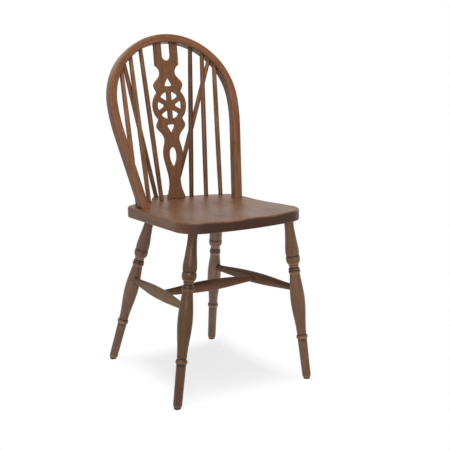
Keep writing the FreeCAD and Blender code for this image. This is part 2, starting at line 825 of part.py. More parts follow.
def make_glide(centre):
    disc = Part.makeCylinder(glide_radius, glide_height, Vector(centre[0], centre[1], 0))
    rim = [edge for edge in disc.Edges if edge.BoundBox.ZMax < glide_height / 2]
    return disc.makeFillet(glide_round, rim)


def add_pair(pieces, name, shape):
    """Store a right-hand piece, and its mirror image as the left-hand one."""
    pieces[name + "_right"] = shape
    pieces[name + "_left"] = mirrored(shape)


def cut_all(shape, tools):
    """The shape with each tool cut from it, on both sides of the chair."""
    for tool in tools:
        shape = shape.cut(tool).cut(mirrored(tool))
    return shape


def add_legs(pieces, seat_tools):
    """Four legs, each with its glide, and the nails that hold the glides."""
    front_end, rear_end = side_stretcher_line()
    corners = [("front", front_foot, front_socket, 0.0, front_end, rear_end),
               ("rear", rear_foot, rear_socket, rear_leg_lift, rear_end, front_end)]
    nails = []
    for place, foot, socket, lift, end, other in corners:
        centre = glide_centre(foot, socket)
        pin = nail(centre)
        leg = make_leg(foot, socket, lift).cut(nail_hole(centre))
        leg = leg.cut(bar_hole(end, other, stretcher_end_radius, 2 * belly_radius))
        add_pair(pieces, place + "_leg", leg)
        add_pair(pieces, place + "_glide", make_glide(centre).cut(pin))
        nails += [pin, mirrored(pin)]
        seat_tools.append(leg_hole(foot, socket))
    pieces["glide_nails"] = Part.makeCompound(nails)


def add_stretchers(pieces):
    ends = side_stretcher_line()
    cross_ends = cross_stretcher_line()
    side = make_bar(ends, stretcher_radius, stretcher_end_radius, stretcher_tenon)
    side = side.cut(bar_hole(cross_ends[1], cross_ends[0], cross_end_radius, 2 * stretcher_radius))
    add_pair(pieces, "side_stretcher", side)
    pieces["cross_stretcher"] = make_bar(cross_ends, cross_radius, cross_end_radius, cross_tenon)


def add_sticks(pieces, seat_tools, bow_tools):
    """Three spindles and a brace stick on each side, with the holes that they need."""
    sticks = []
    names = ("inner_spindle", "middle_spindle", "outer_spindle")
    for name, foot_x, top_x in zip(names, spindle_feet_x, spindle_tops_x):
        sag = spindle_row_radius - math.sqrt(spindle_row_radius ** 2 - foot_x ** 2)
        foot = (foot_x, spindle_row_y - sag)
        sticks.append((name, stick_ends(foot, top_x, spindle_setback, spindle_bow_depth)))
    sticks.append(("brace_stick", stick_ends(brace_foot, brace_top_x, brace_setback, brace_bow_depth)))
    for name, ends in sticks:
        add_pair(pieces, name, make_stick(*ends))
        hole = make_stick(*ends, glue_gap)
        seat_tools.append(hole)
        bow_tools.append(hole)


def build():
    """Every piece by name, in working coordinates."""
    pieces = {}
    seat_tools = [bow_tenon_hole()]
    bow_tools = []
    add_legs(pieces, seat_tools)
    add_stretchers(pieces)
    add_sticks(pieces, seat_tools, bow_tools)
    saddle = below_saddle()
    wedge = make_wedge()
    wedges = Part.makeCompound([wedge, mirrored(wedge)])
    bow_tools.append(prong_hole())
    pieces["bow_wedges"] = wedges
    pieces["splat"] = make_splat(saddle)
    pieces["bow"] = cut_all(make_bow(saddle, wedges), bow_tools)
    pieces["seat"] = cut_all(make_seat(saddle), seat_tools).cut(splat_tenon(glue_gap))
    return pieces


def main():
    os.makedirs("parts", exist_ok=True)
    pieces = build()
    box = Part.makeCompound(list(pieces.values())).optimalBoundingBox()
    to_middle = Vector(0, -box.Center.y, 0)
    for name, shape in pieces.items():
        shape = shape.copy()
        shape.translate(to_middle)
        shape.exportStep(os.path.join("parts", name + ".step"))
        solids = len(shape.Solids)
        print(name, "valid" if shape.isValid() else "INVALID", solids, round(shape.Volume / 1000, 1))


main()
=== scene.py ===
"""Wheelback Windsor chair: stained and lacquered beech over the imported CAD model, in a white studio.

Metres, +Z up, the seat's front towards -Y, and the origin on the floor under the chair's middle.
"""
import math

import bpy
import numpy as np
from bpy.props import FloatProperty, FloatVectorProperty, PointerProperty
from mathutils import Euler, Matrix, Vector


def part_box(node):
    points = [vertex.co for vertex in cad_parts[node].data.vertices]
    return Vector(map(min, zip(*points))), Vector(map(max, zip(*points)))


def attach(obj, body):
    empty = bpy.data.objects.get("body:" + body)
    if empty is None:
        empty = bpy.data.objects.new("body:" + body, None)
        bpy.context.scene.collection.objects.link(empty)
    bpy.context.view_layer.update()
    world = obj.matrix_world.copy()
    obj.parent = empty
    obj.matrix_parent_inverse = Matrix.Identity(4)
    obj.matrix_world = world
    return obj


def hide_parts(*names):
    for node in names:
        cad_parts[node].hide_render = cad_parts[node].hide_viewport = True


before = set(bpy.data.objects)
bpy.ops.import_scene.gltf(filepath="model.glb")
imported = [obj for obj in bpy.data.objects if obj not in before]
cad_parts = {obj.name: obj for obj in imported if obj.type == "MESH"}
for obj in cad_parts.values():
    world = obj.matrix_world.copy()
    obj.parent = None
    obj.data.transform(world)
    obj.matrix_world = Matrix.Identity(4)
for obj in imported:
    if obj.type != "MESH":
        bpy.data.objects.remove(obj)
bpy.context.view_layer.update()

CAD_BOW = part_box("bow")

bl_info = {
    "name": "Wheelback chair",
    "version": (1, 0, 0),
    "blender": (4, 5, 0),
    "location": "3D View > Sidebar > Chair",
    "description": "Finishes the pieces of a wheelback chair and sets up its studio",
    "category": "Object",
}

MM = 0.001
BODY = "root"
SIDES = ("left", "right")
GRAIN = "grain"          # the attribute that says where a point of the bow was in the straight bar


# Colours

def linear(hex_code):
    """Linear red, green and blue from an sRGB hex code such as 7E5439."""
    srgb = np.array([int(hex_code[i:i + 2], 16) for i in (0, 2, 4)]) / 255
    return tuple(np.where(srgb <= 0.04045, srgb / 12.92, ((srgb + 0.055) / 1.055) ** 2.4))


def colour(name, hex_code, description):
    """A colour that a user may change."""
    return FloatVectorProperty(name=name, description=description, subtype="COLOR", size=3,
                               min=0, max=1, default=linear(hex_code))


def length(name, value, description):
    """A length in metres that a user may change."""
    return FloatProperty(name=name, description=description, default=value, min=0, unit="LENGTH",
                         precision=5)


def angle(name, degrees, description):
    """An angle that a user may change."""
    return FloatProperty(name=name, description=description, default=math.radians(degrees),
                         unit="ROTATION")


def power(name, watts, description):
    """The power of a lamp."""
    return FloatProperty(name=name, description=description, default=watts, min=0, unit="POWER")


def share(name, value, description, most=1.0):
    """A plain number, from 0 to its highest value, that a user may change."""
    return FloatProperty(name=name, description=description, default=value, min=0, max=most)


# Settings

class BeechSettings(bpy.types.PropertyGroup):
    """Walnut-stained beech under satin lacquer. Each kind of piece took the stain in its own way."""
    seat: colour("Seat", "53351F", "Stained colour of the seat's face")
    bow: colour("Bow", "67432B", "Stained colour of the bent bow")
    splat: colour("Splat", "60402B", "Stained colour of the splat")
    sticks: colour("Sticks", "6C472F", "Stained colour of the spindles and brace sticks")
    turnings: colour("Turnings", "66462F", "Stained colour of the legs and stretchers")
    end_grain: colour("End grain", "331706", "Colour of cut ends, which drink the stain")
    # Painted shade: besides the knot and the grooves' dark lines, this colour darkens corners and joints
    dark_marks_and_shade: colour("Crevices", "1A0C06", "Colour of the stain that gathers in grooves and joints")
    streak_width: length("Streak width", 5 * MM, "Distance from one streak to the next")
    streak_length: length("Streak length", 110 * MM, "Length of a streak along the grain")
    ring_gap: length("Ring gap", 6 * MM, "Distance between growth rings, drawn wider than the real "
                     "2 mm so that they show")
    pith: length("Pith distance", 70 * MM, "How far from the piece the middle of the tree was")
    fleck_width: length("Fleck width", 1.6 * MM, "Width of the small ray flecks, drawn wider than "
                        "the real 0.5 mm so that they show")
    fleck_length: length("Fleck length", 7 * MM, "Length of the small ray flecks")
    patch_size: length("Patch size", 60 * MM, "Size of the soft patches that the stain leaves")
    # Painted shade: how far from a corner or joint the darkening reaches
    painted_shade_reach: length("Crevice reach", 4 * MM, "How far the gathered stain spreads from a corner")
    relief: length("Grain relief", 0.05 * MM, "Height of the grain that shows through the lacquer")


class BowSettings(bpy.types.PropertyGroup):
    """The bent bow: its section, and the arcs of its middle line in the bow's own plane."""
    width: length("Width", 21.8 * MM, "Section across the front")
    depth: length("Depth", 26.6 * MM, "Section from front to back")
    edge: length("Edge", 4 * MM, "Rounding of the long edges")
    shoulder: length("Shoulder radius", 165.9 * MM, "Arc above the widest place")
    limb: length("Limb radius", 450.8 * MM, "Arc from the straight limb to the widest place")
    widest: length("Widest height", 270.5 * MM, "Height of the widest place, up the bow's plane")
    sink: length("Sink", 10 * MM, "How far the limbs run on into the seat")
    tenon: length("Tenon radius", 8 * MM, "The round tenon under each foot")
    spacing: length("Ring spacing", 4 * MM, "Distance between the rings of the mesh")
    rake: angle("Rake", 18.4, "Lean of the bow's plane from upright")
    lean: angle("Limb lean", 9.8, "Outward lean of the straight limbs")
    turn: angle("Shoulder turn", 45.5, "Angle that the shoulder arc turns through")
    seat_tilt: angle("Seat tilt", 1.96, "Slope of the seat's underside, front up")


class StudioSettings(bpy.types.PropertyGroup):
    """White floor, white surroundings and soft lamps."""
    floor: colour("Floor", "FAFBFC", "Colour of the floor")
    glow: share("Floor glow", 0.72, "How much of the floor's own white the camera sees near the chair")
    fade_start: share("Fade start", 0.85, "Where the floor begins to fade into plain white, as a "
                      "share of the way to the feet", 2)
    fade_end: share("Fade end", 1.2, "Where the floor has faded into plain white", 2)
    surround: share("Surroundings", 0.25, "Light from the white surroundings", 4)
    key: power("Key lamp", 98, "Large lamp overhead")
    front: power("Front lamp", 52, "Soft lamp in front, beside the camera")
    left: power("Left lamp", 4, "Low soft lamp at the left")
    right: power("Right lamp", 7, "Low soft lamp at the right")


# Shader help

def add(tree, kind, links=None, **settings):
    """A new node of a kind, with its settings and links.

    Settings are the node's own properties. Links maps an input's name or number to a value, or to
    the output socket that feeds it.
    """
    node = tree.nodes.new(kind)
    for name, value in settings.items():
        setattr(node, name, value)
    for name, value in (links or {}).items():
        socket = node.inputs[name]
        if isinstance(value, bpy.types.NodeSocket):
            tree.links.new(value, socket)
        elif socket.type == "RGBA":
            socket.default_value = (*value, 1)
        else:
            socket.default_value = value
    return node


def new_material(name):
    """An empty material and its node tree."""
    material = bpy.data.materials.new(name)
    material.use_nodes = True
    material.node_tree.nodes.clear()
    return material, material.node_tree


def give(piece, material):
    """Put the material into every slot of the piece."""
    if not piece.material_slots:
        piece.data.materials.append(material)
    for slot in piece.material_slots:
        slot.material = material


# Stained beech

# Red, green and blue of the grain's dark parts, of its pale parts and of the painted highlights on
# the legs' turned lines, as shares of the stain's own
DARK_GRAIN = (0.50, 0.44, 0.40)
PALE_GRAIN = (1.45, 1.45, 1.45)
HIGHLIGHT_TINT = (2.3, 2.4, 2.5)

# How strongly streaks, growth rings, soft patches and ray flecks show
PLAIN_FIGURE = (1, 1, 1, 1)
SEAT_FIGURE = (0.45, 0.6, 0.8, 1)
BOW_FIGURE = (1, 0.5, 0.35, 0.8)
SPLAT_FIGURE = (0.35, 0.8, 0.7, 1.8)
TURNED_FIGURE = (0.5, 0.4, 0.6, 0.7)

# Weight and roughness of the lacquer's coat
THIN_LACQUER = (0.2, 0.28)
SEAT_LACQUER = (0.6, 0.4)
BOW_LACQUER = (0.45, 0.2)
LEG_LACQUER = (0.5, 0.28)
STRETCHER_LACQUER = (0.1, 0.5)

# What a piece's number is multiplied by: metres that its wood is moved along the grain, and the
# noise's own steps in its three directions
WOOD_STEP = 0.41
NOISE_STEPS = (1, 2.3, 3.1)

RINGS_ALONG = 0.06       # how fast growth rings change along the grain, as a share of across it
EDGE_SHARE = -0.7        # what facing across takes away from a cut end


def vertex_places(node):
    """The places of a piece's vertices, one in each row."""
    points = np.empty(len(node.data.vertices) * 3, np.float32)
    node.data.vertices.foreach_get("co", points)
    return points.reshape(-1, 3)


def grain_turn(node):
    """The turn that stands a straight piece's longest direction along Z."""
    points = vertex_places(node)
    axis = Vector(np.linalg.svd(points - points.mean(0), full_matrices=False)[2][0])
    if axis.z < 0:
        axis.negate()
    return axis.rotation_difference(Vector((0, 0, 1))).to_euler()


def noise_along(tree, source, across, along, detail, seed):
    """Noise from 0 to 1, with a size across the grain and a size along it."""
    placed = add(tree, "ShaderNodeMapping", {"Vector": source,
                                             "Location": tuple(seed * step for step in NOISE_STEPS),
                                             "Scale": (1 / across, 1 / across, 1 / along)})
    return add(tree, "ShaderNodeTexNoise", {"Vector": placed.outputs[0], "Scale": 1.0,
                                            "Detail": detail}).outputs["Fac"]


def laid_over(tree, under, over, value, low=0, high=1, most=1):
    """One colour over another: not at all where the value is low, and most where it is high."""
    amount = add(tree, "ShaderNodeMapRange", {"Value": value, "From Min": low, "From Max": high,
                                              "To Max": most}).outputs[0]
    return add(tree, "ShaderNodeMix", {0: amount, 6: under, 7: over}, data_type="RGBA").outputs[2]


def tinted(stain, factors):
    """The stain with its red, green and blue scaled."""
    return tuple(min(1.0, part * factor) for part, factor in zip(stain, factors))


def figured_wood(tree, grain, stain, beech, number, figure):
    """The stained wood's colour, and the streaks and growth rings that also give it relief."""
    streaks = noise_along(tree, grain, beech.streak_width, beech.streak_length, 3, number)
    flecks = noise_along(tree, grain, beech.fleck_width, beech.fleck_length, 1, number + 0.3)
    patches = noise_along(tree, grain, beech.patch_size / 3, beech.patch_size, 2, number + 0.6)
    trunk = add(tree, "ShaderNodeMapping", {"Vector": grain, "Scale": (1, 1, RINGS_ALONG),
                                            "Location": (beech.pith, 0.3 * beech.pith, 0)}).outputs[0]
    # A wave's period is a tenth of pi at scale 1
    rings = add(tree, "ShaderNodeTexWave", {"Vector": trunk, "Scale": math.pi / 10 / beech.ring_gap,
                                            "Distortion": 4.0, "Detail": 2.0, "Detail Scale": 0.8},
                wave_type="RINGS", rings_direction="Z").outputs["Fac"]

    dark = tinted(stain, DARK_GRAIN)
    pale = tinted(stain, PALE_GRAIN)
    wood = laid_over(tree, stain, dark, streaks, 0.40, 0.68, figure[0])
    wood = laid_over(tree, wood, dark, rings, 0.4, 1, 0.5 * figure[1])
    wood = laid_over(tree, wood, pale, patches, 0.42, 0.7, 0.7 * figure[2])
    wood = laid_over(tree, wood, pale, flecks, 0.50, 0.70, 0.5 * figure[3])
    return wood, streaks, rings


def cut_ends(tree, normal, along, across):
    """How much a point lies on a cut end, which faces along the grain.

    An end's rounded edge, which also faces across, stays pale.
    """
    sizes = []
    for axis in (along, across):
        facing = add(tree, "ShaderNodeVectorMath", {0: normal, 1: axis},
                     operation="DOT_PRODUCT").outputs["Value"]
        sizes.append(add(tree, "ShaderNodeMath", {0: facing}, operation="ABSOLUTE").outputs[0])
    return add(tree, "ShaderNodeMath", {0: sizes[1], 1: EDGE_SHARE, 2: sizes[0]},
               operation="MULTIPLY_ADD").outputs[0]


def stained_beech(name, stain, beech, number, turn=(0, 0, 0), bent=False, end_axes=None, knot=None,
                  lines=None, figure=PLAIN_FIGURE, lacquer=THIN_LACQUER):
    """Steamed beech, stained walnut brown and sprayed with satin lacquer.

    The eye sees an even, close brown with faint growth rings and lengthwise streaks, short pale ray
    flecks, darker cut ends and a soft sheen over all. Painted shade darkens corners, joints and
    grooves, and legs get dark lines at their grooves and pale lines of painted highlight. The
    number gives each piece wood of its own. The turn stands a piece's grain along Z, and a bent
    piece has its grain in an attribute. End axes go to cut_ends, lines to turned_lines, and a knot
    is a middle and a radius.
    """
    material, tree = new_material(name)
    place = add(tree, "ShaderNodeTexCoord")
    here = place.outputs["Object"]
    source = here
    if bent:
        source = add(tree, "ShaderNodeAttribute", attribute_name=GRAIN).outputs["Vector"]
    grain = add(tree, "ShaderNodeMapping", {"Vector": source, "Rotation": turn,
                                            "Location": (0, 0, WOOD_STEP * number)}).outputs[0]
    wood, streaks, rings = figured_wood(tree, grain, stain, beech, number, figure)
    dark_marks_and_shade_colour = tuple(beech.dark_marks_and_shade)
    if end_axes is not None:
        ends = cut_ends(tree, place.outputs["Normal"], *end_axes)
        wood = laid_over(tree, wood, tuple(beech.end_grain), ends, 0.3, 0.85)
    if knot is not None:
        middle, radius = knot
        away = add(tree, "ShaderNodeVectorMath", {0: here, 1: middle},
                   operation="DISTANCE").outputs["Value"]
        wood = laid_over(tree, wood, dark_marks_and_shade_colour, away, radius, radius / 2, 0.8)
    if lines is not None:
        # Dark lines at the grooves, and pale lines of painted highlight where the beads face the floor's
        # light
        grooves, highlights = turned_lines(tree, here, *lines)
        wood = laid_over(tree, wood, tinted(stain, HIGHLIGHT_TINT), highlights, most=0.85)
        wood = laid_over(tree, wood, dark_marks_and_shade_colour, grooves)
    # Painted shade: corners, joints and grooves darken by how closed in they are
    open_sky = add(tree, "ShaderNodeAmbientOcclusion", {"Distance": beech.painted_shade_reach},
                   samples=8).outputs["AO"]
    wood = laid_over(tree, wood, dark_marks_and_shade_colour, open_sky, 0.92, 0.5, 0.9)

    height = add(tree, "ShaderNodeMath", {0: streaks, 1: rings}, operation="ADD").outputs[0]
    bump = add(tree, "ShaderNodeBump", {"Height": height, "Distance": beech.relief}).outputs[0]
    dull = add(tree, "ShaderNodeMapRange", {"Value": streaks, "From Min": 0.3, "From Max": 0.7,
                                            "To Min": 0.42, "To Max": 0.55}).outputs[0]
    shader = add(tree, "ShaderNodeBsdfPrincipled", {
        "Base Color": wood, "Roughness": dull, "IOR": 1.5, "Specular IOR Level": 0.1,
        "Coat Weight": lacquer[0], "Coat Roughness": lacquer[1], "Coat IOR": 1.35, "Normal": bump})
    add(tree, "ShaderNodeOutputMaterial", {"Surface": shader.outputs[0]})
    return material


# Heights up a leg's middle line, in millimetres, of the lines that its turning shows: dark lines at
# the grooves, and pale lines of painted highlight where the beads' lower edges face the floor's light
GROOVES = (111.5, 125.5, 302.3, 308.7, 340.0)
HIGHLIGHT_HEIGHTS = (7.0, 118.0, 294.3, 312.7, 319.5)
LINE_FADE = 2.6          # from a line's middle to where it has faded away
LEG_REACH = 440.0        # heights are read from 0 up to this one
REAR_LIFT = 3.0          # the rear legs' turnings sit this much higher

TOP_SLICE = 1.2 * MM     # a leg's vertices this near to its top belong to its top face


def turned_lines(tree, source, foot, axis, lift):
    """How much a point of a leg lies on a groove's dark line and on a painted highlight, by its height
    along the middle line.
    """
    along = add(tree, "ShaderNodeVectorMath", {0: source, 1: axis},
                operation="DOT_PRODUCT").outputs["Value"]
    start = foot.dot(axis) + lift * MM
    up = add(tree, "ShaderNodeMapRange", {"Value": along, "From Min": start,
                                          "From Max": start + LEG_REACH * MM}).outputs[0]
    found = []
    for heights in (GROOVES, HIGHLIGHT_HEIGHTS):
        stops = add(tree, "ShaderNodeValToRGB", {0: up})
        band = stops.color_ramp
        band.elements[0].color = band.elements[1].color = (0, 0, 0, 1)
        for height in heights:
            for place, level in ((height - LINE_FADE, 0), (height, 1), (height + LINE_FADE, 0)):
                band.elements.new(place / LEG_REACH).color = (level, level, level, 1)
        found.append(stops.outputs["Color"])
    return found


def leg_axis(node, glide):
    """A leg's foot on the floor and the direction of its middle line.

    The foot is the middle of the glide's box, and the top is the middle of the box round the
    vertices of the leg's top face.
    """
    points = vertex_places(node)
    low, high = (Vector(corner) for corner in glide)
    foot = Vector(((low.x + high.x) / 2, (low.y + high.y) / 2, 0))
    rough = np.array(Vector(points[points[:, 2].argmax()]) - foot)
    along = points @ rough / np.linalg.norm(rough)
    top = points[along > along.max() - TOP_SLICE]
    return foot, (Vector((top.min(0) + top.max(0)) / 2) - foot).normalized()


# How much more or less red, green and blue a piece has than the others of its kind: partly the
# wood's own tone, partly painted light, with painted shade on the darker pieces and painted sheen
# on the paler, greyer ones
TONES_AND_PAINTED_LIGHT = {"inner_spindle_right": (0.45, 0.4, 0.32), "middle_spindle_right": (0.71, 0.73, 0.71),
         "inner_spindle_left": (0.83, 0.83, 0.8), "outer_spindle_left": (1.1, 1.2, 1.22),
         "middle_spindle_left": (1.05, 1.2, 1.28), "outer_spindle_right": (0.88, 0.97, 0.96),
         "brace_stick_left": (0.98, 1.1, 1.2), "brace_stick_right": (1.1, 1.2, 1.28),
         "front_leg_left": (0.51, 0.5, 0.42), "front_leg_right": (0.94, 0.98, 1.1),
         "rear_leg_left": (0.89, 1.04, 1.35), "rear_leg_right": (1.4, 1.78, 2.5),
         "cross_stretcher": (0.82, 0.81, 0.92), "side_stretcher_left": (0.93, 1.18, 1.46),
         "side_stretcher_right": (0.72, 0.79, 0.94)}


def finish_straight(name, stain, beech, number, **look):
    """Stained beech on a straight piece, with its grain along it, a pattern of its own, and a tone from
    the table that is partly painted shade and sheen.
    """
    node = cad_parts[name]
    # The piece's tone: partly the wood's own, partly painted shade and painted sheen
    own = tinted(stain, TONES_AND_PAINTED_LIGHT.get(name, (1, 1, 1)))
    give(node, stained_beech("stained_beech_" + name, own, beech, number, grain_turn(node), **look))


# Bow

EDGE_STEPS = 6           # straight steps round each long edge of the section
TENON_SIDES = 32
END_GAP = 0.2 * MM       # how far the tenons' lowest points stay above the CAD bow's

# The middle of the pin knot on the front of a limb, and its radius
KNOT = ((0.1575, 0.0956, 0.595), 4.5 * MM)


def bow_line(bow):
    """The bow's middle line in its own plane, from the right foot over the top to the left one.

    It is a straight limb, an arc to the widest place, a shoulder arc and half of a crown arc, each
    tangent to the next, and the same mirrored. Each arc's points are its centre plus its radius
    times the cosine and sine of evenly spaced angles. Returns the points, the directions to the
    outside, and the length from the first point.
    """
    half = CAD_BOW[1].x - bow.width / 2
    limb_x = half - bow.limb
    shoulder_x = half - bow.shoulder
    crown = bow.shoulder + shoulder_x / math.cos(bow.turn)
    crown_y = bow.widest - shoulder_x * math.tan(bow.turn)
    outward = np.array((math.cos(bow.lean), -math.sin(bow.lean)))
    upward = np.array((math.sin(bow.lean), math.cos(bow.lean)))
    top = np.array((limb_x, bow.widest)) + bow.limb * outward
    foot = top - upward * (top[1] / math.cos(bow.lean) + bow.sink)

    steps = math.ceil(np.linalg.norm(top - foot) / bow.spacing)
    runs = [(foot + (top - foot) * np.linspace(0, 1, steps + 1)[:, None],
             np.repeat(outward[None], steps + 1, 0))]
    for centre, radius, start, end in (((limb_x, bow.widest), bow.limb, -bow.lean, 0),
                                       ((shoulder_x, bow.widest), bow.shoulder, 0, bow.turn),
                                       ((0, crown_y), crown, bow.turn, math.pi / 2)):
        steps = math.ceil(radius * (end - start) / bow.spacing)
        angles = np.linspace(start, end, steps + 1)[1:]
        away = np.stack([np.cos(angles), np.sin(angles)], 1)
        runs.append((np.array(centre) + radius * away, away))
    points = np.concatenate([run[0] for run in runs])
    outward = np.concatenate([run[1] for run in runs])
    points = np.concatenate([points, points[-2::-1] * (-1, 1)])
    outward = np.concatenate([outward, outward[-2::-1] * (-1, 1)])
    steps = np.linalg.norm(np.diff(points, axis=0), axis=1)
    return points, outward, np.concatenate([[0], np.cumsum(steps)])


def rounded_section(width, depth, edge, steps):
    """A rectangle's outline with a quarter circle at each corner, and the outline's normals."""
    angles = np.linspace(0, math.pi / 2, steps + 1)[None] + np.arange(4)[:, None] * math.pi / 2
    normals = np.stack([np.cos(angles), np.sin(angles)], -1)
    corners = np.array([(1, 1), (-1, 1), (-1, -1), (1, -1)])[:, None]
    inner = np.array((width / 2 - edge, depth / 2 - edge))
    return (corners * inner + edge * normals).reshape(-1, 2), normals.reshape(-1, 2)


def tube(points, normals, bar):
    """A closed shell from rings of points: its sides, and one flat face over each end.

    Points, normals and bar are arrays of rings by points of a ring by 3. Bar holds each point's
    place in the straight bar. Returns vertices, faces, corner normals and the bar's places.
    """
    rings, count = points.shape[:2]
    ring, step = np.meshgrid(np.arange(rings - 1), np.arange(count), indexing="ij")
    after = (step + 1) % count
    sides = np.stack([ring * count + step, ring * count + after,
                      (ring + 1) * count + after, (ring + 1) * count + step], -1).reshape(-1, 4)
    first = np.arange(count)[::-1]
    last = np.arange(count) + (rings - 1) * count
    flat = normals.reshape(-1, 3)
    caps = []
    for cap in (first, last):
        a, b, c = points.reshape(-1, 3)[cap[[0, count // 3, 2 * count // 3]]]
        face = np.cross(b - a, c - b)
        caps.append(np.repeat((face / np.linalg.norm(face))[None], count, 0))
    corner_normals = np.concatenate([flat[sides.ravel()]] + caps)
    faces = [*sides.tolist(), first.tolist(), last.tolist()]
    return points.reshape(-1, 3), faces, corner_normals, bar.reshape(-1, 3)


def join_shells(name, shells):
    """One mesh object from shells, with their corner normals and the grain attribute."""
    vertices = np.concatenate([shell[0] for shell in shells])
    starts = np.cumsum([0] + [len(shell[0]) for shell in shells])
    faces = [[corner + int(start) for corner in face]
             for start, shell in zip(starts, shells) for face in shell[1]]
    mesh = bpy.data.meshes.new(name)
    mesh.from_pydata(vertices, [], faces)
    mesh.polygons.foreach_set("use_smooth", np.ones(len(faces), bool))
    mesh.normals_split_custom_set(np.concatenate([shell[2] for shell in shells]))
    grain = mesh.attributes.new(GRAIN, "FLOAT_VECTOR", "POINT")
    grain.data.foreach_set("vector", np.concatenate([shell[3] for shell in shells]).ravel())
    piece = bpy.data.objects.new(name, mesh)
    bpy.context.scene.collection.objects.link(piece)
    return piece


def bow_plane(bow, top):
    """Where the bow's plane starts, its directions across and up as two rows, and the one behind it.

    The CAD bow's highest and rearmost points set the start. The top is the middle line's highest
    place in the plane. Of the section there, the rounded front edge is highest and the rear one
    rearmost.
    """
    sine, cosine = math.sin(bow.rake), math.cos(bow.rake)
    up = np.array((0, sine, cosine))
    reach = top + bow.width / 2 - bow.edge
    start = np.array((0, CAD_BOW[1].y - bow.edge, CAD_BOW[1].z - bow.edge)) - reach * up
    start -= (bow.depth / 2 - bow.edge) * np.array((0, cosine, sine))
    return start, np.array(((1, 0, 0), up)), np.array((0, cosine, -sine))


def bow_shells(bow):
    """The hoop and its two tenons.

    A point of the hoop is the middle line, plus the section's first value towards the outside and
    its second one behind the bow's plane. A tenon is a circle carried down the limb's direction to
    the seat's underside.
    """
    line, outward, run = bow_line(bow)
    start, plane, behind = bow_plane(bow, line[:, 1].max())
    section, section_normals = rounded_section(bow.width, bow.depth, bow.edge, EDGE_STEPS)
    middle = start + line @ plane
    away = outward @ plane
    points = middle[:, None] + away[:, None] * section[:, :1] + behind * section[:, 1:]
    normals = away[:, None] * section_normals[:, :1] + behind * section_normals[:, 1:]
    bar = np.concatenate([np.repeat(section[None], len(run), 0),
                          np.repeat(run[:, None, None], len(section), 1)], 2)
    shells = [tube(points, normals, bar)]

    angles = np.linspace(0, 2 * math.pi, TENON_SIDES, endpoint=False)
    underside = np.array((0, math.sin(bow.seat_tilt), math.cos(bow.seat_tilt)))
    for end, direction in ((0, middle[0] - middle[1]), (-1, middle[-1] - middle[-2])):
        direction = direction / np.linalg.norm(direction)
        circle_normals = away[end] * np.cos(angles)[:, None] + behind * np.sin(angles)[:, None]
        circle = middle[end] + bow.tenon * circle_normals
        drop = -(circle @ underside) / (direction @ underside)
        lower = circle + drop[:, None] * direction
        lower += direction * (CAD_BOW[0].z + END_GAP - lower[:, 2].min()) / direction[2]
        rings = np.stack([circle, lower]) if end == -1 else np.stack([lower, circle])
        both = np.repeat(circle_normals[None], 2, 0)
        place = np.concatenate([bow.tenon * both[..., :2], np.full((2, TENON_SIDES, 1), run[end])], 2)
        shells.append(tube(rings, both, place))
    return shells


class CHAIR_OT_bow(bpy.types.Operator):
    """Make the bent bow, with its grain running round the bend"""
    bl_idname = "chair.bow"
    bl_label = "Bow"

    def execute(self, context):
        chair = context.scene.chair
        bow = join_shells("bent_bow", bow_shells(chair.bow))
        give(bow, stained_beech("stained_beech_bow", tuple(chair.beech.bow), chair.beech, 20, bent=True,
                                knot=KNOT, figure=BOW_FIGURE, lacquer=BOW_LACQUER))
        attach(bow, BODY)
        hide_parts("bow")
        return {"FINISHED"}


class CHAIR_OT_seat(bpy.types.Operator):
    """Finish the carved seat, with its grain from front to back"""
    bl_idname = "chair.seat"
    bl_label = "Seat"

    def execute(self, context):
        beech = context.scene.chair.beech
        give(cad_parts["seat"],
             stained_beech("stained_beech_seat", tuple(beech.seat), beech, 1, turn=(math.pi / 2, 0, 0),
                           end_axes=((0, 1, 0), (0, 0, 1)), figure=SEAT_FIGURE, lacquer=SEAT_LACQUER))
        return {"FINISHED"}


class CHAIR_OT_splat(bpy.types.Operator):
    """Finish the pierced splat, with its grain up the board"""
    bl_idname = "chair.splat"
    bl_label = "Splat"

    def execute(self, context):
        beech = context.scene.chair.beech
        finish_straight("splat", beech.splat, beech, 2, figure=SPLAT_FIGURE)
        return {"FINISHED"}


class CHAIR_OT_sticks(bpy.types.Operator):
    """Finish the six spindles and the two brace sticks"""
    bl_idname = "chair.sticks"
    bl_label = "Sticks"

    def execute(self, context):
        beech = context.scene.chair.beech
        kinds = ("inner_spindle", "middle_spindle", "outer_spindle", "brace_stick")
        names = [f"{kind}_{side}" for kind in kinds for side in SIDES]
        for number, name in enumerate(names, 3):
            finish_straight(name, beech.sticks, beech, number)
        return {"FINISHED"}


class CHAIR_OT_legs(bpy.types.Operator):
    """Finish the four turned legs"""
    bl_idname = "chair.legs"
    bl_label = "Legs"

    def execute(self, context):
        beech = context.scene.chair.beech
        places = [(end, side) for end in ("front", "rear") for side in SIDES]
        for number, (end, side) in enumerate(places, 11):
            name = f"{end}_leg_{side}"
            foot, axis = leg_axis(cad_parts[name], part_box(f"{end}_glide_{side}"))
            finish_straight(name, beech.turnings, beech, number,
                            lines=(foot, axis, REAR_LIFT if end == "rear" else 0),
                            figure=TURNED_FIGURE, lacquer=LEG_LACQUER)
        return {"FINISHED"}


class CHAIR_OT_stretchers(bpy.types.Operator):
    """Finish the side stretchers and the cross stretcher"""
    bl_idname = "chair.stretchers"
    bl_label = "Stretchers"

    def execute(self, context):
        beech = context.scene.chair.beech
        names = ["side_stretcher_left", "side_stretcher_right", "cross_stretcher"]
        for number, name in enumerate(names, 15):
            finish_straight(name, beech.turnings, beech, number, figure=TURNED_FIGURE,
                            lacquer=STRETCHER_LACQUER)
        return {"FINISHED"}


# Fittings

